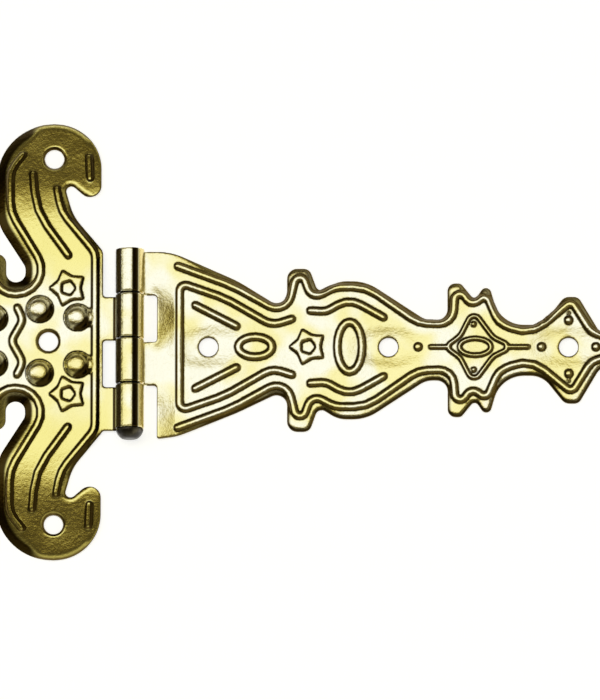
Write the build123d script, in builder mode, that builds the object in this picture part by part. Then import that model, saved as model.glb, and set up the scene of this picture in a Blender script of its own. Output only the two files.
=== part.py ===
from build123d import *
from math import atan2, ceil, cos, degrees, pi, sin, sqrt
import os

# A decorative T hinge pressed from sheet: a short jamb leaf with two scroll horns, a long
# strap leaf with three lobes, and a headed pin through their four rolled knuckles.
# Millimetres. The pin lies along Y, the strap points along +X, and both backs lie on Z = 0.

# Sheet, pin and barrel
sheet = 1.0                # thickness of both leaves
pin_diameter = 3.7
pin_clearance = 0.05       # radial, between the pin and the rolled bore
barrel_length = 36.8
knuckle_count = 4
knuckle_gap = 0.3          # between neighbouring knuckles
roll_angle = 304           # how far the sheet curls round the pin
tab_length = 2.5           # flat of each tab, from the barrel to the leaf's base edge
tab_root_radius = 0.6
head_inset = 0.05          # the pin head is this much smaller in radius than the barrel
head_height = 2.1
head_flat = 3.0            # diameter of the flat on the end of the domed head
pin_end_chamfer = 0.4

# Screw holes
screw_hole = 3.8
jamb_hole_spread = 74.6    # between the two holes in the horns
jamb_hole_reach = 15.2     # from the pin axis to those two holes
jamb_middle_reach = 16.3
dish_diameter = 5.2        # shallow dish round the jamb leaf's holes
dish_angle = 120
strap_hole_reach = 15.7    # from the pin axis to the strap's first hole
strap_hole_pitch = 36.0
strap_hole_count = 3

# Pressed relief: height over the face, half width at the face, and what shows behind it
ridge_height = 0.72
ridge_half = 1.0
fine_height = 0.5
fine_half = 0.68
bend_step = 22.5           # a ridge turns in flat facets of at most this many degrees
back_bend_step = 45        # and the hollow behind it in these
end_sides = 8              # flat sides of a ridge's end
oval_sides = 20
back_oval_sides = 12
back_share = 0.6           # the hollow behind a form, as a share of its width and height
relief_root = 0.35         # how deep the relief is rooted in the sheet
dome_half = 2.55
dome_height = 1.2
dome_sides = 16
dome_tiers = ((0.54, 48), (0.34, 65))   # height as a share of the dome's, and lean of the sides
link_half = 1.5            # from the jamb leaf's front domes to the ridge along its base
link_height = 0.9
bead_half = 1.1
bead_height = 0.6
small_bead_half = 0.8
small_bead_height = 0.45
tip_bead_half = 0.6
bead_sides = 12
bead_taper = 50            # lean of a bead's sides
star_reach = 4.0
star_waist = 2.75
star_height = 0.5
star_slope = 0.45          # how far a star's sides lean in
star_points = 5
well_reach = 1.8           # five-sided well in the middle of a star
well_depth = 0.4
well_taper = 30
bead_cross = 5.45          # from the strap's last hole to the four beads round it

# Centre lines of the strap: the pressing, and the blanked outline just beside it
strap_line = -1.2
blank_line = -1.75
strap_foot = 1.5           # how far the strap's base reaches past the barrel

# Worked out from the sizes above
bore_radius = pin_diameter / 2 + pin_clearance
barrel_radius = bore_radius + sheet
head_radius = barrel_radius - head_inset
base_edge = barrel_radius + tab_length
barrel_half = barrel_length / 2
knuckle_pitch = barrel_length / knuckle_count
knuckle_length = knuckle_pitch - knuckle_gap
jamb_knuckles = range(1, knuckle_count, 2)
strap_knuckles = range(0, knuckle_count, 2)
horn_stretch = (jamb_hole_spread / 2 - barrel_half) / 18.9   # the horns are drawn for 18.9 mm
hole_span = (strap_hole_count - 1) * strap_hole_pitch
strap_stretch = hole_span / 72                               # the strap is drawn for 72 mm


def knuckle_middle(index):
    return barrel_half - (index + 0.5) * knuckle_pitch


def mirrored(corners):
    # The same corners turned over the X axis, in reverse order
    return [(x, -y, radius) for x, y, radius in reversed(corners)]


def shifted(corners, rise):
    return [(x, y + rise, radius) for x, y, radius in corners]


def horned(corners):
    # Corners whose Y is measured from the barrel's end, stretched as the horns are
    return [(x, barrel_half + horn_stretch * y, radius) for x, y, radius in corners]


def along(x):
    # A place along the strap, given from its first hole and stretched as the holes' span is
    return strap_hole_reach + strap_stretch * x


def strapped(corners):
    return [(along(x), y, radius) for x, y, radius in corners]


def bent(corners, step, closed=False):
    # Points along a path through corners given as (x, y, radius), each bend cut into straight
    # steps of so many degrees; an open path's two ends have no radius
    places = [(x, y) for x, y, radius in corners]
    rounding = [radius for x, y, radius in corners]
    if len(places) == 2:
        return [Vector(*place) for place in places]
    with BuildLine() as path:
        FilletPolyline(*places, radius=rounding if closed else rounding[1:-1], close=closed)
    points = []
    edges = path.wires()[0].order_edges()
    for edge in edges:
        steps = 1
        if edge.geom_type == GeomType.CIRCLE:
            steps = ceil(degrees(edge.length / edge.radius) / step)
        points += [edge @ (index / steps) for index in range(steps)]
    return closed_up(points) if closed else points + [edges[-1] @ 1]


def oval(centre, reach_x, reach_y, sides):
    turns = [2 * pi * index / sides for index in range(sides)]
    return closed_up([Vector(centre + reach_x * cos(turn), reach_y * sin(turn)) for turn in turns])


def closed_up(points):
    # A closed path starts and ends in the middle of a straight step
    middle = (points[0] + points[-1]) / 2
    return [middle] + points + [middle]


def ridge(points, half, height):
    # A sharp-crested bead along a path, rooted in the sheet
    heading = points[1] - points[0]
    across = Plane(origin=points[0], x_dir=Vector(0, 0, 1).cross(heading), z_dir=heading)
    with BuildPart() as bead:
        with BuildLine() as spine:
            Polyline(*points)
        with BuildSketch(across):
            with BuildLine():
                Polyline((-half, -relief_root), (-half, 0), (0, height), (half, 0),
                         (half, -relief_root), (-half, -relief_root))
            make_face()
        sweep(path=spine.line, transition=Transition.RIGHT)
    return bead.part


def ridge_end(points, half, height):
    # The pointed round end of a ridge, turned so that it meets the ridge's own corners
    heading = points[1] - points[0]
    with BuildPart() as peak:
        with BuildSketch() as root:
            RegularPolygon(half, end_sides)
        extrude(amount=-relief_root)
        loft(sections=[root.face(), Vertex(0, 0, height)])
    return Pos(*points[0]) * Rot(0, 0, degrees(atan2(heading.Y, heading.X))) * peak.part


def lined(lines, step=bend_step, share=1.0):
    # Open ridges, each with its two ends
    solids = []
    for corners, half, height in lines:
        points = bent(corners, step)
        size = (half * share, height * share)
        solids += [ridge(points, *size), ridge_end(points, *size), ridge_end(points[::-1], *size)]
    return solids


def ringed(rings, sides=oval_sides, share=1.0):
    # Oval ridges, each given as (centre's x, reach along, reach across, half width, height)
    return [ridge(oval(x, along_x, along_y, sides), half * share, height * share)
            for x, along_x, along_y, half, height in rings]


def studded(studs, share=1.0):
    # Round forms, each given as (shape, x, y, half width, height)
    return [Pos(x, y) * shape(half * share, height * share) for shape, x, y, half, height in studs]


def button(half, height):
    # A bead with leaning flat sides and a flat top
    with BuildPart() as bead:
        with BuildSketch() as root:
            RegularPolygon(half, bead_sides)
        extrude(amount=-relief_root)
        extrude(root.sketch, amount=height, taper=bead_taper)
    return bead.part


def dome(half, height):
    # A low cap in leaning tiers of flat sides, close to a part of a ball
    with BuildPart() as cap:
        with BuildSketch() as root:
            RegularPolygon(half, dome_sides)
        extrude(amount=-relief_root)
        rim = root.sketch
        for share, lean in dome_tiers:
            extrude(rim, amount=height * share, taper=lean)
            rim = cap.faces().sort_by(Axis.Z)[-1]
    return cap.part


def star(centre, level, share=1.0):
    # A raised star with leaning sides, one of its points towards -X
    turns = [pi + index * pi / star_points for index in range(2 * star_points)]
    with BuildPart() as body:
        for rise, lean in ((-relief_root, 0), (0, 0), (star_height * share, star_slope * share)):
            reaches = (star_reach * share - lean, star_waist * share - lean)
            points = [(reaches[index % 2] * cos(turn), reaches[index % 2] * sin(turn))
                      for index, turn in enumerate(turns)]
            with BuildSketch(Plane.XY.offset(rise)):
                Polygon(*points, align=None)
        loft(ruled=True)
    return Pos(*centre, level) * body.part


def star_well(centre):
    with BuildPart() as well:
        with BuildSketch(Plane.XY.offset(sheet + star_height)):
            RegularPolygon(well_reach, star_points)
        extrude(amount=-well_depth, taper=well_taper)
    return Pos(*centre) * well.part


def knuckle_ring(side):
    # The curl of one tab, from under the pin, round its far side and back over the top
    with BuildPart() as ring:
        with BuildSketch(Plane.XZ):
            with BuildLine():
                outer = CenterArc((0, barrel_radius), barrel_radius, -90, -side * roll_angle)
                inner = CenterArc((0, barrel_radius), bore_radius, -90, -side * roll_angle)
                Line(outer @ 0, inner @ 0)
                Line(outer @ 1, inner @ 1)
            make_face()
        extrude(amount=knuckle_length / 2, both=True)
    return ring.part


def leaf_blank(outline, side, knuckles):
    # The flat blank with its tabs and its rolled knuckles
    tab_reach = base_edge + tab_root_radius
    with BuildPart() as blank:
        with BuildSketch() as flat:
            with BuildLine():
                places = [(x, y) for x, y, radius in outline]
                rounding = [radius for x, y, radius in outline]
                FilletPolyline(*places, radius=rounding, close=True)
            make_face()
            with Locations([(side * tab_reach / 2, knuckle_middle(i)) for i in knuckles]):
                Rectangle(tab_reach, knuckle_length)
            ends = [knuckle_middle(i) + up * knuckle_length / 2 for i in knuckles for up in (-1, 1)]
            roots = [Vector(side * base_edge, y) for y in ends if abs(y) < barrel_half - knuckle_gap]
            fillet([flat.vertices().sort_by_distance(root)[0] for root in roots],
                   radius=tab_root_radius)
        extrude(amount=sheet)
        add([Pos(0, knuckle_middle(i)) * knuckle_ring(side) for i in knuckles])
    return blank.part


# Jamb leaf outline, upper half: base corner, neck, hook, horn, back, notch, ear, finial.
# Each Y is measured from the barrel's end
jamb_half = horned([
    (-base_edge, 0, 2.0), (-11.4, 7.3, 10), (-13.7, 15.3, 1.0), (-5.75, 8.4, 2.3),
    (-5.75, 26.1, 9.3), (-26.7, 26.1, 11.3), (-26.7, 5.9, 10), (-20.95, -3.1, 2.0),
    (-20.95, -6.2, 1.9), (-24.8, -6.2, 1.9), (-24.8, -0.4, 2.0), (-28.9, -0.4, 1.95),
    (-28.9, -7.4, 1.6), (-35.5, -9.4, 5),
])
jamb_outline = jamb_half + [(-38.2, 0, 3)] + mirrored(jamb_half)

# Jamb leaf ridges, upper half
horn_back = horned([(-21.5, 19.7, 0), (-24.1, 16.5, 5), (-24.0, 7.9, 8), (-14.0, -8.8, 5.0),
                    (-27.5, -8.8, 4.3), (-27.3, -3.1, 0)])
horn_middle = horned([(-19.5, 15.8, 0), (-18.9, 8.2, 14), (-12.4, -0.9, 0)])
horn_front = horned([(-14.7, 12.7, 0), (-13.8, 8.0, 8), (-base_edge - 1.6, -0.4, 3)])
horn_bar = horned([(-8.25, 19.2, 0), (-8.05, 14.9, 0)])
wave = [(-22.6, 6.8, 0), (-21.4, 4.3, 2), (-23.8, 0, 1.8), (-21.4, -4.3, 2), (-22.6, -6.8, 0)]

dome_link = [(-10.5, 4.8, 0), (-base_edge - 2.6, 4.8, 0)]

jamb_lines = [(corners, ridge_half, ridge_height) for corners in (
    horn_back, mirrored(horn_back), horn_middle, mirrored(horn_middle),
    horn_front + mirrored(horn_front), horn_bar, mirrored(horn_bar), wave)]
link_lines = [(corners, link_half, link_height) for corners in (dome_link, mirrored(dome_link))]
jamb_domes = [(x, side * y, dome_half, dome_height)
              for x, y in ((-18.05, 6.5), (-10.5, 4.8), (-27.2, 4.6)) for side in (1, -1)]
jamb_fronts = [(dome, *place) for place in jamb_domes]
jamb_backs = [(button, *place) for place in jamb_domes]
star_rise = barrel_half - 7.6
jamb_stars = [(-12.4, star_rise), (-12.4, -star_rise)]
jamb_holes = [(-jamb_hole_reach, jamb_hole_spread / 2), (-jamb_hole_reach, -jamb_hole_spread / 2),
              (-jamb_middle_reach, 0)]

jamb_blank = leaf_blank(jamb_outline, -1, jamb_knuckles)
front = Pos(0, 0, sheet)
with BuildPart() as jamb_leaf:
    add(jamb_blank)
    add([front * solid for solid in lined(jamb_lines + link_lines) + studded(jamb_fronts)])
    add([star(centre, sheet) for centre in jamb_stars])
    add([star_well(centre) for centre in jamb_stars], mode=Mode.SUBTRACT)
    add(lined(jamb_lines, back_bend_step, back_share) + studded(jamb_backs, back_share),
        mode=Mode.SUBTRACT)
    add([star(centre, 0, back_share) for centre in jamb_stars], mode=Mode.SUBTRACT)
    with Locations([(x, y, sheet) for x, y in jamb_holes]):
        CounterSinkHole(screw_hole / 2, dish_diameter / 2, counter_sink_angle=dish_angle)
jamb_leaf.part.label = "jamb_leaf"

# Strap leaf outline: base corners on either side, then the lobes, about blank_line.
# The lobes' X is measured from the first hole
strap_top = [(base_edge, barrel_half - knuckle_gap / 2, 0),
             (base_edge + 2.8, barrel_half - knuckle_gap / 2, 12),
             (21.5, barrel_half - 6.0, 25)]
strap_waist = strapped([(15.7, 6.2 - blank_line, 2.1)])
strap_lobes = strapped([
    (15.7, 16.65, 2.1), (20.2, 16.65, 1.7), (22, 11.6, 1.2), (25.9, 14.1, 5.8),
    (31.5, 14.1, 9), (43.5, 6.15, 4.5), (47.8, 6.2, 2.2), (47.8, 13.65, 1.6),
    (50.5, 13.65, 1.1), (53.25, 10.2, 0.8), (55.9, 14.2, 1.1), (58.5, 5.2, 6.1),
    (66.7, 5.2, 4.7), (71.2, 10.9, 2), (74, 10.9, 1.6), (78.2, 3.8, 2), (83.3, 2.8, 1.9),
])
strap_bottom = [(21.5, 3.9 - barrel_half, 25), (base_edge + 4.1, -barrel_half - 1.0, 12),
                (base_edge, -barrel_half - strap_foot, 0.4)]
strap_outline = (strap_top + shifted(strap_waist + strap_lobes, blank_line)
                 + shifted(mirrored(strap_waist + strap_lobes), blank_line) + strap_bottom)

# Strap leaf ridges, upper half, about strap_line. X is measured from the first hole, except at
# the base
border = [(base_edge + 4.1, barrel_half - 1.9, 0), (20.5, barrel_half - 6.0, 20)] + strapped([
    (15.5, 6.4, 3), (18.1, 16.85, 1.1), (20.6, 9.7, 1.9), (25.3, 12.2, 5), (31.5, 12.2, 8),
    (41.9, 4.85, 6), (48.9, 4.6, 3), (49.4, 12.9, 1.1), (52.6, 8.3, 1.5), (55.5, 10.7, 1.1),
    (57.9, 5.0, 3.6), (64.1, 2.2, 6.4), (72.6, 9.33, 1.1), (76.5, 3.0, 3), (81.3, 1.5, 1.3),
])
frame = strapped([(16.7, 5.7, 0), (12.7, 4.4, 4)]) + [(19.0, barrel_half - 8.5, 15),
                                                      (base_edge + 4.5, barrel_half - 5.3, 1.2)]
slash = [(13.0, barrel_half - 9.9, 0), (21.3, 4.2, 0)]
swell = strapped([(20.3, 7.4, 0), (23.5, 7.2, 3), (28.1, 9.9, 4.5), (35, 6.0, 0)])
diamond = strapped([(47.3, 0, 0.9), (50.3, 2.2, 3), (52.9, 7.4, 1.2), (56.9, 1.9, 3), (60.9, 0, 0.9)])
tails = [strapped([(44.3, 0, 0), (48.1, 0, 0)]), strapped([(59.5, 0, 0), (63.9, 0, 0)])]

strap_lines = [(corners, ridge_half, ridge_height) for corners in (
    border + mirrored(border), frame + mirrored(frame), slash, mirrored(slash),
    swell, mirrored(swell))]
tail_lines = [(corners, fine_half, fine_height) for corners in tails]
rings = [(along(9.3), 3.4, 2.05, ridge_half, ridge_height),
         (along(28.2), 2.5, 5.1, ridge_half, ridge_height)]
fine_rings = [(along(53.3), 3.2, 1.73, fine_half, fine_height)]
diamond_points = bent(diamond + mirrored(diamond)[1:-1], bend_step, closed=True)
last_hole = strap_hole_reach + hole_span
bead_places = [(along(41.9), 0), (last_hole - bead_cross, 0), (last_hole, bead_cross),
               (last_hole + bead_cross, 0), (last_hole, -bead_cross)]
strap_beads = [(button, x, y, bead_half, bead_height) for x, y in bead_places]
small_beads = [(button, along(53), y, small_bead_half, small_bead_height) for y in (4.65, -4.65)]
small_beads += [(button, last_hole, y, tip_bead_half, small_bead_height) for y in (6.9, -6.9)]
strap_star = (along(19.9), 0)
strap_holes = [(strap_hole_reach + index * strap_hole_pitch, strap_line)
               for index in range(strap_hole_count)]

strap_blank = leaf_blank(strap_outline, 1, strap_knuckles)
back = Pos(0, strap_line)
front = Pos(0, strap_line, sheet)
with BuildPart() as strap_leaf:
    add(strap_blank)
    add([front * solid for solid in lined(strap_lines + tail_lines) + ringed(rings + fine_rings)
         + studded(strap_beads + small_beads)])
    add(front * ridge(diamond_points, fine_half, fine_height))
    add(back * star(strap_star, sheet))
    add(back * star_well(strap_star), mode=Mode.SUBTRACT)
    add([back * solid for solid in lined(strap_lines, back_bend_step, back_share)
         + ringed(rings, back_oval_sides, back_share) + studded(strap_beads, back_share)],
        mode=Mode.SUBTRACT)
    add(back * star(strap_star, 0, back_share), mode=Mode.SUBTRACT)
    with Locations([(x, y, sheet) for x, y in strap_holes]):
        Hole(screw_hole / 2)
strap_leaf.part.label = "strap_leaf"

# Pin: a plain rod through the knuckles, with a domed head under the lowest one. The dome is
# part of a ball whose centre lies on the pin's axis, dome_rise above the head's seat
head_seat = -barrel_half + knuckle_gap / 2
head_end = head_seat - head_height
dome_rise = (head_radius ** 2 - (head_flat / 2) ** 2 - head_height ** 2) / (2 * head_height)
dome_radius = sqrt(head_radius ** 2 + dome_rise ** 2)
with BuildPart() as hinge_pin:
    with BuildSketch(Plane.XY.offset(barrel_radius)):
        with BuildLine():
            RadiusArc((head_radius, head_seat), (head_flat / 2, head_end), dome_radius)
            Polyline((head_flat / 2, head_end), (0, head_end), (0, barrel_half),
                     (pin_diameter / 2, barrel_half), (pin_diameter / 2, head_seat),
                     (head_radius, head_seat))
        make_face()
    revolve(axis=Axis((0, 0, barrel_radius), (0, 1, 0)))
    top_rim = hinge_pin.edges().filter_by(GeomType.CIRCLE).sort_by(Axis.Y)[-1]
    chamfer(top_rim, pin_end_chamfer)
hinge_pin.part.label = "hinge_pin"

os.makedirs("parts", exist_ok=True)
export_step(jamb_leaf.part, "parts/jamb_leaf.step")
export_step(strap_leaf.part, "parts/strap_leaf.step")
export_step(hinge_pin.part, "parts/hinge_pin.step")
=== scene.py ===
from math import cos, hypot, radians, sin

import bpy
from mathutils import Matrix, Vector
from mathutils.kdtree import KDTree


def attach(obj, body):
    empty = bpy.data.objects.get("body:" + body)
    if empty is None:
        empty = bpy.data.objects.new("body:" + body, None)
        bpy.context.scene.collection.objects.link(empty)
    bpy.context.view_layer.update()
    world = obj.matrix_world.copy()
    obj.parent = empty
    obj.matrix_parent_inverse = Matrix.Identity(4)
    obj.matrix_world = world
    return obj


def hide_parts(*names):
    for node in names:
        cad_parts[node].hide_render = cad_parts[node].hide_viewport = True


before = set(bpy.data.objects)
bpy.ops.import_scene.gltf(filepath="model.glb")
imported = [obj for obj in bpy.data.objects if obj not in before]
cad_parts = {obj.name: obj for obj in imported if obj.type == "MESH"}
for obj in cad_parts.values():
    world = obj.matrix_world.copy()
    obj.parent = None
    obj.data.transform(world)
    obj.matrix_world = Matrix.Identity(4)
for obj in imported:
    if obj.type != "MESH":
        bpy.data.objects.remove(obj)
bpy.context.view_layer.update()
mm = 0.001  # the scene is in metres
print("hinge frame loaded")

# Middles of the screw holes, as they are in the frame
jambHoles = [(-15.2 * mm, 37.3 * mm), (-15.2 * mm, -37.3 * mm), (-16.3 * mm, 0)]
strapHoles = [(15.7 * mm, -1.2 * mm), (51.7 * mm, -1.2 * mm), (87.7 * mm, -1.2 * mm)]


class Value:
    # A socket that takes part in sums, so that shader maths reads as plain expressions
    def __init__(self, socket, nodes):
        self.socket = socket
        self.nodes = nodes

    def math(self, operation, *others):
        return self.nodes.math(operation, self, *others)

    def __add__(self, other):
        return self.math("ADD", other)

    def __sub__(self, other):
        return self.math("SUBTRACT", other)

    def __mul__(self, other):
        return self.math("MULTIPLY", other)

    def __truediv__(self, other):
        return self.math("DIVIDE", other)

    def __rsub__(self, other):
        return self.nodes.math("SUBTRACT", other, self)

    def __rtruediv__(self, other):
        return self.nodes.math("DIVIDE", other, self)

    __radd__ = __add__
    __rmul__ = __mul__

    def between(self, low, high):
        # 0 below low, 1 above high, smooth from one to the other
        return self.nodes.add("ShaderNodeMapRange", {"interpolation_type": "SMOOTHSTEP"},
                              {"Value": self, "From Min": low, "From Max": high})

    def within(self, start, full, fade, end):
        # 1 from full to fade, 0 before start and after end
        return self.between(start, full) * (1 - self.between(fade, end))


class NodeMaker:
    # Adds nodes to the tree of a material or a world, in front of its shader
    def __init__(self, owner, shader):
        owner.use_nodes = True
        self.owner = owner
        self.tree = owner.node_tree
        self.shader = self.tree.nodes[shader]

    def add(self, kind, settings=None, inputs=None, output=0):
        # One node: its settings first, then the values or links of its sockets
        node = self.tree.nodes.new(kind)
        for name, setting in (settings or {}).items():
            if name == "stops":
                ramp = node.color_ramp
                while len(ramp.elements) < len(setting):
                    ramp.elements.new(0.5)
                for element, (place, colour) in zip(ramp.elements, setting):
                    element.position = place
                    element.color = (*colour, 1)
            else:
                setattr(node, name, setting)
        for key, value in (inputs or {}).items():
            self.plug(value, node.inputs[key])
        return Value(node.outputs[output], self)

    def plug(self, value, socket):
        if isinstance(value, Value):
            self.tree.links.new(value.socket, socket)
        else:
            socket.default_value = value

    def set(self, **inputs):
        for name, value in inputs.items():
            self.plug(value, self.shader.inputs[name.replace("_", " ")])

    def place(self):
        return self.add("ShaderNodeTexCoord", output="Object")

    def axis(self, index):
        return self.add("ShaderNodeSeparateXYZ", {}, {0: self.place()}, index)

    def marked(self, name):
        # What the mesh says of itself, under this name
        return self.add("ShaderNodeAttribute", {"attribute_name": name}, {}, "Fac")

    def noise(self, scale, detail, roughness):
        return self.add("ShaderNodeTexNoise", {},
                        {"Vector": self.place(), "Scale": scale, "Detail": detail,
                         "Roughness": roughness})

    def math(self, operation, *values):
        return self.add("ShaderNodeMath", {"operation": operation}, dict(enumerate(values)))

    def vector(self, operation, *values, output="Vector"):
        return self.add("ShaderNodeVectorMath", {"operation": operation},
                        dict(enumerate(values)), output)

    def mixed(self, share, first, second):
        # Colours go through Mix, share of the way from first to second: its sockets 6 and 7
        return self.add("ShaderNodeMix", {"data_type": "RGBA"},
                        {0: share, 6: first, 7: second}, output=2)

    def bump(self, height, strength, distance, under=None):
        # A finer bump goes over the one under it
        inputs = {"Height": height, "Strength": strength, "Distance": distance}
        if under:
            inputs["Normal"] = under
        return self.add("ShaderNodeBump", {}, inputs)


plating = {
    "colour": (0.92, 0.86, 0.42, 1),         # bright lemon brass
    "paleColour": (0.97, 0.965, 0.83, 1),
    "patchNoise": (90, 2, 0.5),              # scale, detail and roughness
    "patches": (0.4, 0.59),
    "goldColour": (0.89, 0.82, 0.31, 1),     # on the horns:
    "gold": (9 * mm, 19 * mm),               # it comes in this far from the middle line,
    "goldSide": (-5 * mm, -3 * mm),          # and goes out here towards the strap
    # Painted reflection: the barrel's strap side is tinted amber as if it mirrored warm light
    "barrelSheenColour": (0.89, 0.755, 0.36, 1),   # on the barrel's strap side:
    "barrelSheen": (1.7 * mm, 2.0 * mm, 2.75 * mm, 3.1 * mm),  # it starts, is full, fades and ends
    # Painted shade: steep flanks and rims are dark brown, standing in for the dark room they
    # mirror
    "flankShadeColour": (0.13, 0.09, 0.022, 1),    # where the relief is steep:
    "steep": (0.03, 0.2),                    # the slopes at which it starts and is full
    "paintedShadeColour": (0.045, 0.03, 0.008, 1),   # painted shade in the creases round the relief, and on rims, bands and shaded sides
    "crease": (0.1, 0.9),
    "roughness": 0.2,
    "roughSpread": 0.1,
    "mottleNoise": (1500, 3, 0.6),           # fine mottling of the plated sheet
    "mottleStrength": 0.35,
    "mottleDepth": 0.16 * mm,
    "warpNoise": (150, 1, 0.4),              # slow waves that the press leaves in the flats
    "warpStrength": 0.5,
    "warpDepth": 0.4 * mm,
    "dishReach": (1.9 * mm, 4.9 * mm),       # the sheet sinks a little round the strap's holes,
    "dishShape": (0.55, 1, 1),               # further along the strap than across it
    "dishDepth": 0.27 * mm,
    "headStart": 21 * mm,                    # the horns lean away from here outwards,
    "headSpan": 12 * mm,                     # fully after this much more,
    "headLean": 0.275,                       # by this slope
    # The strap's base bends up towards the barrel from the last of these places in, and this
    # fades out between the second and the first, before the knuckles
    "baseEdge": (3.4 * mm, 5.4 * mm, 9.0 * mm),
    # Two stretches along the barrel: where the bend starts, is full, fades and ends, and its slope
    "baseBends": ((-2.5 * mm, 3.5 * mm, 6 * mm, 12 * mm, 0.205),
                  (-31 * mm, -30 * mm, -15 * mm, -8.5 * mm, 0.135)),
}


def platingColour(brass, patches):
    colour = brass.mixed(patches.between(*plating["patches"]),
                         plating["colour"], plating["paleColour"])
    gilt = (brass.axis(1).math("ABSOLUTE").between(*plating["gold"])
            * (1 - brass.axis(0).between(*plating["goldSide"])))
    # painted reflection on the barrel's strap side
    barrelSheen = brass.axis(0).within(*plating["barrelSheen"])
    # painted shade on the steep flanks and rims
    steep = brass.marked("slope").between(*plating["steep"])
    # painted shade in creases, on dark rims, in bands along the barrel and on shaded sides
    crease = brass.marked("crease").between(*plating["crease"])
    for share, tone in ((gilt, "goldColour"), (barrelSheen, "barrelSheenColour"),
                        (steep, "flankShadeColour"), (crease, "paintedShadeColour")):
        colour = brass.mixed(share, colour, plating[tone])
    return colour


def platingLean(brass):
    # Height that the plated face gains from forms too slight for the mesh
    outward = (brass.axis(1).math("ABSOLUTE") - plating["headStart"]).math("MAXIMUM", 0.0)
    near = outward.math("MINIMUM", plating["headSpan"])
    lean = (near * near / (2 * plating["headSpan"]) + (outward - near)) * -plating["headLean"]
    knuckles, edge, inner = plating["baseEdge"]
    bent = sum(brass.axis(1).within(*bend) * slope for *bend, slope in plating["baseBends"])
    onBase = brass.axis(0).between(knuckles, edge)
    lean = lean + (inner - brass.axis(0)).math("MAXIMUM", 0.0) * bent * onBase
    for x, y in strapHoles:
        middle = brass.vector("SUBTRACT", brass.place(), (x, y, pressing["face"]))
        shaped = brass.vector("MULTIPLY", middle, plating["dishShape"])
        off = brass.vector("LENGTH", shaped, output="Value")
        lean = lean + off.between(*plating["dishReach"]) * plating["dishDepth"]
    return lean


def platingMaterial():
    brass = NodeMaker(bpy.data.materials.new("brassPlating"), "Principled BSDF")
    patches = brass.noise(*plating["patchNoise"])
    leant = brass.bump(platingLean(brass), 1.0, 1.0)  # as it is, because it is in metres
    waved = brass.bump(brass.noise(*plating["warpNoise"]), plating["warpStrength"],
                       plating["warpDepth"], under=leant)
    mottled = brass.bump(brass.noise(*plating["mottleNoise"]), plating["mottleStrength"],
                         plating["mottleDepth"], under=waved)
    brass.set(Base_Color=platingColour(brass, patches),
              Roughness=plating["roughness"] + plating["roughSpread"] * (patches - 0.5),
              Metallic=1.0,
              Normal=mottled)
    return brass.owner


pinSteel = {
    "colour": (0.055, 0.052, 0.05, 1),
    "wornColour": (0.16, 0.15, 0.14, 1),
    "cloudNoise": (500, 3, 0.6),
    "worn": (0.45, 0.75),
    "roughness": 0.33,
    "roughSpread": 0.15,
    "grainStrength": 0.3,
    "grainDepth": 0.02 * mm,
    "softenTimes": 12,
}


def pinMaterial():
    steel = NodeMaker(bpy.data.materials.new("darkPinSteel"), "Principled BSDF")
    cloud = steel.noise(*pinSteel["cloudNoise"])
    steel.set(Base_Color=steel.mixed(cloud.between(*pinSteel["worn"]),
                                     pinSteel["colour"], pinSteel["wornColour"]),
              Roughness=pinSteel["roughness"] + pinSteel["roughSpread"] * (cloud - 0.5),
              Metallic=1.0,
              Normal=steel.bump(cloud, pinSteel["grainStrength"], pinSteel["grainDepth"]))
    return steel.owner


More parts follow.
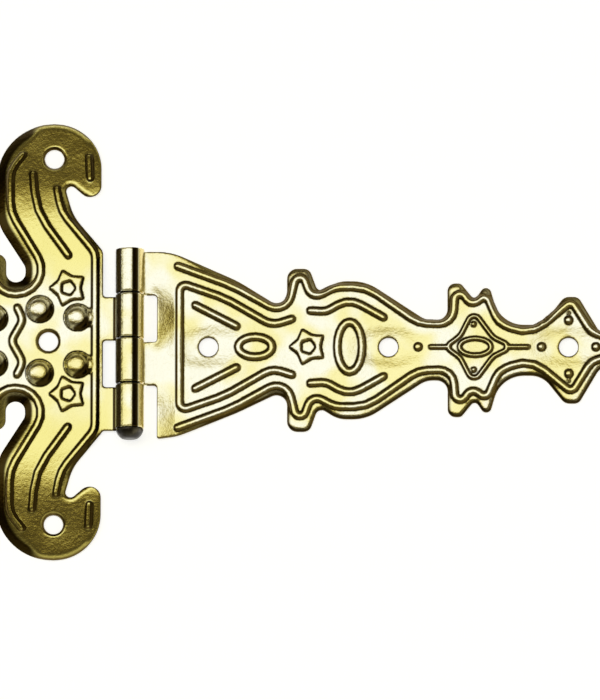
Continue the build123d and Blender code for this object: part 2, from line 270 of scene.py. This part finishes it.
pressing = {
    "weld": 0.002 * mm,            # corners of loose triangles nearer than this are one
    "grain": 0.227 * mm,           # size of the cells that the sheet is rounded at
    "backNormal": -0.3,            # a cell that looks down by this much is on the back,
    "backHeight": 0.9 * mm,        # if it is lower than this
    "backThinning": 2,             # how many times the back's cells are joined in pairs
    "softening": 0.5,
    "softenTimes": (2, 4),         # before the creases are measured, and after
    "face": 1.0 * mm,              # height of the leaf's flat face
    "plainReach": 3.2 * mm,        # the barrel keeps its shape this near to the pin's axis
    "ridge": (0.07 * mm, 0.52 * mm),  # heights over the face between which a ridge's flank stands
    "ridgeRise": 0.46 * mm,        # how high it then goes
    "crestShare": 0.12,            # how steep its crest still is
    "domeFoot": 0.1 * mm,          # a dome also takes in what is this little below the face
    "domeCurve": 3.4,
    "edgeNormal": 0.4,             # the cut edge's normals rise less than this,
    "edgeHeights": (0.2 * mm, 0.8 * mm),
    "edgeStart": 5 * mm,           # and it starts this far from the pin's axis
    "holeReach": 2.9 * mm,         # no rim is rolled this near to a screw hole's middle
    "rimReach": 1.0 * mm,          # how far in from the cut edge the face rolls down
    "rimDrop": 0.5 * mm,
    "rimCurve": 1.6,
    "plainBase": (7 * mm, 20 * mm),    # the strap's rim is plain before this, rolled after it
    # Painted shade darkens the strap's lower rims and the horns' outer sides and necks
    "lowTurn": 0.5,                # the strap's lower edges face down by this,
    "lowReach": 0.7 * mm,          # roll down within this, and are darker
    "lowShade": 0.9,
    "jambEdge": (-9 * mm, -7.5 * mm),  # the jamb leaf's edge along the barrel is nearly plain
    "jambDrop": 0.07 * mm,
    "hornSide": (17.5 * mm, 20.5 * mm),  # the horns' outer sides roll down more
    "hornFoot": (9.5 * mm, 12 * mm),
    "hornReach": 2.6 * mm,
    "hornDrop": 0.9 * mm,
    "neck": (17.5 * mm, 19.5 * mm, 27 * mm, 29 * mm),  # where the horns' inner edges are dark too
    "neckShade": 0.7,
    "earSide": (23.8 * mm, 25.2 * mm),  # the ears by the finial are less dark
    "earTop": (17.5 * mm, 19.5 * mm),
    "earShade": 0.25,
    "rimShade": (0.05, 0.55),
    "barrelReach": 3.4 * mm,       # the barrel has bands of painted shade along it instead of creases
    "darkBands": ((0.2 * mm, 0.7 * mm, 1.45 * mm, 1.9 * mm),
                  (-9 * mm, -8 * mm, -2 * mm, -1.55 * mm)),
    # Painted shade: domes and the horns' ridges are darker on one side, as if lit from the other
    "domeShadeFrom": 0.9 * mm,     # domes are dark over this height,
    "domeShadeSide": 0.7,          # on the side towards the strap and the pin's head
    "domeShade": (0.1, 0.45),
    "creaseFrom": 0.7 * mm,        # creases are dark over this height
    "creaseDepth": 0.02 * mm,      # how much softening fills one that shows fully dark
    "ridgeShade": (0.06, 0.35),    # the horns' ridges are dark on the barrel's side, from here out
    "ridgeFoot": (12 * mm, 16 * mm),
    "rimNormal": -0.2,             # a rim is dark where its normals rise more than this
    "wallNormal": 0.2,             # a wall's normals rise less than this
    "wallShare": 0.15,             # how much of the steepness shows on domes and walls
    "tiny": 0.01 * mm,             # the least distance that anything is divided by
}

# The jamb leaf's domes, above and below its middle line: from x to x, y, reach and rise
domes = [[part * mm for part in dome] for dome in
         ((-18.05, -18.05, 6.5, 2.65, 1.2), (-10.5, -10.5, 4.8, 2.65, 1.2),
          (-27.2, -27.2, 4.6, 2.65, 1.2), (-10.5, -8.4, 4.8, 1.8, 0.62))]


def ramped(value, low, high):
    # 0 below low, 1 above high, smooth from one to the other
    share = min(max((value - low) / (high - low), 0), 1)
    return share * share * (3 - 2 * share)


def banded(value, start, full, fade, end):
    return ramped(value, start, full) * (1 - ramped(value, fade, end))


def domeRise(x, y):
    # Height of the domes over the face at a place, 0 away from them
    rise = 0
    for start, end, level, reach, height in domes:
        off = hypot(x - min(max(x, start), end), abs(y) - level) / reach
        if off < 1:
            rise = max(rise, height * (1 - off ** pressing["domeCurve"]))
    return rise


def cutEdge(piece):
    # The places on the cut edge as seen from above, away from the holes and the knuckles
    holes = jambHoles + strapHoles
    low, high = pressing["edgeHeights"]
    places = [vertex.co.copy() for vertex in piece.data.vertices
              if abs(vertex.normal.z) < pressing["edgeNormal"] and low < vertex.co.z < high
              and abs(vertex.co.x) > pressing["edgeStart"]
              and min(hypot(vertex.co.x - x, vertex.co.y - y) for x, y in holes)
              > pressing["holeReach"]]
    tree = KDTree(len(places))
    for index, place in enumerate(places):
        tree.insert((place.x, place.y, 0), index)
    tree.balance()
    return tree


def hornShare(x, y):
    # 1 on the horns' outer sides and 0 elsewhere
    return ramped(-x, *pressing["hornSide"]) * ramped(abs(y), *pressing["hornFoot"])


def rimSize(x, y, low):
    # How far in from the cut edge the face rolls down, and how far down
    reach, drop = pressing["rimReach"], pressing["rimDrop"]
    if x > 0:
        return (reach + low * (pressing["lowReach"] - reach),
                drop * ramped(x, *pressing["plainBase"]))
    drop += (pressing["jambDrop"] - drop) * ramped(x, *pressing["jambEdge"])
    horn = hornShare(x, y)
    return (reach + horn * (pressing["hornReach"] - reach),
            drop + horn * (pressing["hornDrop"] - drop))


def rimShade(x, y, low, off):
    # How dark the rim's painted shade is at a share of its width from the cut edge
    if x > 0:
        dark = low * pressing["lowShade"]
    else:
        ear = ramped(-x, *pressing["earSide"]) * (1 - ramped(abs(y), *pressing["earTop"]))
        dark = max(hornShare(x, y) * (1 - ear * (1 - pressing["earShade"])),
                   banded(abs(y), *pressing["neck"]) * pressing["neckShade"])
    return dark * ramped(1 - off, *pressing["rimShade"])


def thinBack(piece):
    # The back keeps fewer of the cells, for nothing on it is as fine as on the face
    for cell in piece.data.polygons:
        cell.select = (cell.normal.z < pressing["backNormal"]
                       and cell.center.z < pressing["backHeight"])
    bpy.ops.object.mode_set(mode="EDIT")
    bpy.ops.mesh.select_mode(type="FACE")
    bpy.ops.mesh.unsubdivide(iterations=pressing["backThinning"])
    bpy.ops.object.mode_set(mode="OBJECT")


def shapeFace(piece):
    # The face as the press leaves it: round tops on ridges and domes, and a rolled outer edge
    edge = cutEdge(piece)
    face = pressing["face"]
    foot, shoulder = pressing["ridge"]
    shades = {}
    for vertex in piece.data.vertices:
        x, y, z = vertex.co
        if abs(x) < pressing["plainReach"]:
            continue
        if z > face:
            z = (face + pressing["ridgeRise"] * ramped(z - face, foot, shoulder)
                 + max(z - face - shoulder, 0) * pressing["crestShare"])
        if x < 0 and z > face - pressing["domeFoot"]:
            z = max(z, face + domeRise(x, y))
        nearest, _, away = edge.find((x, y, 0))
        facing = (y - nearest.y) / max(away, pressing["tiny"])
        low = ramped(facing, 0, pressing["lowTurn"]) * ramped(x, *pressing["plainBase"])
        reach, drop = rimSize(x, y, low)
        off = away / reach
        if off < 1:
            z -= min(z / face, 1) * drop * (1 - off) ** pressing["rimCurve"]
            # painted shade on the rim, for the plating's colour
            shades[vertex.index] = rimShade(x, y, low, off)
        vertex.co.z = z
    return shades


def markRelief(piece, sharp, shades):
    # How steep each place is and its painted shade, in creases and more, for the plating's colour
    slope = piece.data.attributes.new("slope", "FLOAT", "POINT")
    crease = piece.data.attributes.new("crease", "FLOAT", "POINT")
    for vertex in piece.data.vertices:
        x, y, z = vertex.co
        normal = vertex.normal
        steep = 1 - abs(normal.z)
        dark = 0
        if abs(x) < pressing["barrelReach"]:
            steep = 0
            # painted shade in bands along the barrel
            dark = max(banded(x, *band) for band in pressing["darkBands"])
        elif z > pressing["domeShadeFrom"] and domeRise(x, y):
            steep *= pressing["wallShare"]
            # painted shade on the domes' side towards the strap and the pin's head
            side = (normal.x - normal.y) * pressing["domeShadeSide"]
            dark = ramped(side, *pressing["domeShade"])
        elif z > pressing["creaseFrom"]:
            # painted shade in the creases, as dark as softening fills them
            dark = (z - sharp[vertex.index]) / pressing["creaseDepth"]
            if x < 0 and z > pressing["face"]:
                # painted shade on the horns' ridges, on the barrel's side
                dark = max(dark, ramped(normal.x, *pressing["ridgeShade"])
                           * ramped(abs(y), *pressing["ridgeFoot"]))
        if normal.z > pressing["rimNormal"]:
            dark = max(dark, shades.get(vertex.index, 0))
        if abs(normal.z) < pressing["wallNormal"]:
            steep *= pressing["wallShare"]
        slope.data[vertex.index].value = steep
        crease.data[vertex.index].value = min(max(dark, 0), 1)


def activate(piece):
    # Everything is deselected first, and then only this piece is worked on
    for thing in bpy.context.selected_objects:
        thing.select_set(False)
    piece.select_set(True)
    bpy.context.view_layer.objects.active = piece


def cellCopy(name, node):
    # A copy of the node's mesh, made of small even cells so that it can be rounded
    piece = bpy.data.objects.new(name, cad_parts[node].data.copy())
    bpy.context.scene.collection.objects.link(piece)
    activate(piece)
    bpy.ops.object.mode_set(mode="EDIT")
    bpy.ops.mesh.select_all(action="SELECT")
    bpy.ops.mesh.remove_doubles(threshold=pressing["weld"])
    bpy.ops.object.mode_set(mode="OBJECT")
    remesh = piece.modifiers.new("press", "REMESH")
    remesh.mode = "VOXEL"
    remesh.voxel_size = pressing["grain"]
    remesh.use_smooth_shade = True
    bpy.ops.object.modifier_apply(modifier=remesh.name)
    return piece


def soften(piece, times, sideways):
    smooth = piece.modifiers.new("soften", "SMOOTH")
    smooth.factor = pressing["softening"]
    smooth.iterations = times
    smooth.use_x = sideways
    smooth.use_y = sideways
    bpy.ops.object.modifier_apply(modifier=smooth.name)


def standsFor(piece, node, body, material):
    piece.data.materials.clear()
    piece.data.materials.append(material)
    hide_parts(node)
    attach(piece, body)
    triangles = sum(len(cell.vertices) - 2 for cell in piece.data.polygons)
    print(piece.name, "made:", triangles, "triangles")


def pressedLeaf(name, node, body, material):
    # The leaf's own solid, with its edges and its relief rounded as a press leaves them
    piece = cellCopy(name, node)
    thinBack(piece)
    shades = shapeFace(piece)
    for times in pressing["softenTimes"]:
        sharp = [vertex.co.z for vertex in piece.data.vertices]
        soften(piece, times, sideways=False)
    markRelief(piece, sharp, shades)
    standsFor(piece, node, body, material)


def turnedPin(name, node, body, material):
    # The pin with its head smoothly domed
    piece = cellCopy(name, node)
    soften(piece, pinSteel["softenTimes"], sideways=True)
    standsFor(piece, node, body, material)


brassPlating = platingMaterial()
pressedLeaf("jambLeaf", "jamb_leaf", "jamb", brassPlating)
pressedLeaf("strapLeaf", "strap_leaf", "strap", brassPlating)
turnedPin("hingePin", "hinge_pin", "jamb", pinMaterial())


viewing = {
    "tilt": 11.5,                   # degrees from straight overhead, to the hinge's lower end
    "distance": 3.0,
    "middle": (34.0 * mm, -1.63 * mm, 0),
    "frameHeight": 140.0 * mm,      # what the picture's height shows at that distance
    "filmHeight": 24.0,
    "clip": (0.01, 20),
}


def photoCamera():
    camera = bpy.data.cameras.new("camera")
    camera.sensor_fit = "VERTICAL"
    camera.sensor_height = viewing["filmHeight"]
    camera.lens = viewing["filmHeight"] * viewing["distance"] / viewing["frameHeight"]
    camera.clip_start, camera.clip_end = viewing["clip"]
    holder = bpy.data.objects.new("camera", camera)
    bpy.context.scene.collection.objects.link(holder)
    tilt = radians(viewing["tilt"])
    offset = Vector((0, -sin(tilt), cos(tilt))) * viewing["distance"]
    holder.location = Vector(viewing["middle"]) + offset
    holder.rotation_euler = (tilt, 0, 0)
    bpy.context.scene.camera = holder


studio = {
    "floorSize": 6.0,
    "floorDrop": 0.02 * mm,         # how far below the leaves' backs it lies
    "paperColour": (0.9, 0.9, 0.9, 1),
    "paperRoughness": 0.9,
    "paperGlow": (0.94, 0.96, 1.0, 1),  # with the warm light on it this looks white
    "paperLight": 0.76,             # what makes it look white on top of the light on it
    # Colour of the room at so many degrees from the direction that the flat faces mirror
    "room": [(0, (1.12, 1.12, 1.14)), (11, (1.08, 1.08, 1.0)), (16, (0.85, 0.76, 0.40)),
             (21, (0.42, 0.34, 0.11)), (27, (0.085, 0.058, 0.018)), (35, (0.04, 0.03, 0.012)),
             (42, (0.08, 0.065, 0.03)), (50, (0.22, 0.19, 0.1)), (62, (0.45, 0.40, 0.22)),
             (90, (0.74, 0.69, 0.45))],
    "softBoxLength": 5.0,           # how much longer the soft box is over the jamb leaf's side
    "horizon": (62, 78),            # the room's own shape shows between these angles
    "dimTurn": (0.1, 0.9),          # the horizon is darker on the finial's side,
    "dimSide": 0.8,                 # by this much
}


def studioFloor():
    # Paper that camera, mirror and glass rays see as white, with the object's shadow on it
    bpy.ops.mesh.primitive_plane_add(size=studio["floorSize"],
                                     location=(0, 0, -studio["floorDrop"]))
    floor = bpy.context.active_object
    floor.name = "floor"
    paper = NodeMaker(bpy.data.materials.new("paper"), "Principled BSDF")
    paper.set(Base_Color=studio["paperColour"], Roughness=studio["paperRoughness"])
    glowing = paper.add("ShaderNodeBsdfPrincipled", {}, {
        "Base Color": studio["paperColour"], "Roughness": studio["paperRoughness"],
        "Emission Color": studio["paperGlow"], "Emission Strength": studio["paperLight"]})
    seen, mirrored, passed = (paper.add("ShaderNodeLightPath", {}, {}, ray) for ray in
                              ("Is Camera Ray", "Is Glossy Ray", "Is Transmission Ray"))
    shown = seen.math("MAXIMUM", mirrored).math("MAXIMUM", passed)
    plain = Value(paper.shader.outputs["BSDF"], paper)
    surface = paper.add("ShaderNodeMixShader", {}, {0: shown, 1: plain, 2: glowing})
    paper.plug(surface, paper.tree.nodes["Material Output"].inputs["Surface"])
    floor.data.materials.append(paper.owner)


def studioSky():
    # Bright where the flat faces mirror it, dark round that, and pale again near the horizon
    sky = NodeMaker(bpy.data.worlds.new("studio"), "Background")
    turned = sky.add("ShaderNodeMapping", {"vector_type": "POINT"},
                     {"Vector": sky.add("ShaderNodeTexCoord", output="Generated"),
                      "Rotation": (radians(viewing["tilt"]), 0, 0)})
    x, y, z = (sky.add("ShaderNodeSeparateXYZ", {}, {0: turned}, index) for index in range(3))
    # The direction's angle from the middle of a soft box that is longer along X
    along = x.math("ARCTAN2", z)
    shortened = along.math("MAXIMUM", 0 - along / studio["softBoxLength"])
    boxed = (shortened * shortened + y * y).math("SQRT")
    whole = z.math("ARCCOSINE")
    far = whole.between(*(radians(edge) for edge in studio["horizon"]))
    angle = boxed * (1 - far) + whole * far
    dimmed = far * (0 - x).between(*studio["dimTurn"]) * studio["dimSide"]
    widest = studio["room"][-1][0]
    stops = [(degrees / widest, colour) for degrees, colour in studio["room"]]
    sky.set(Color=sky.add("ShaderNodeValToRGB", {"stops": stops}, {0: angle / radians(widest)}),
            Strength=1 - dimmed)
    bpy.context.scene.world = sky.owner


studioFloor()
studioSky()
bpy.context.scene.view_settings.view_transform = "Standard"
photoCamera()
print("studio ready")
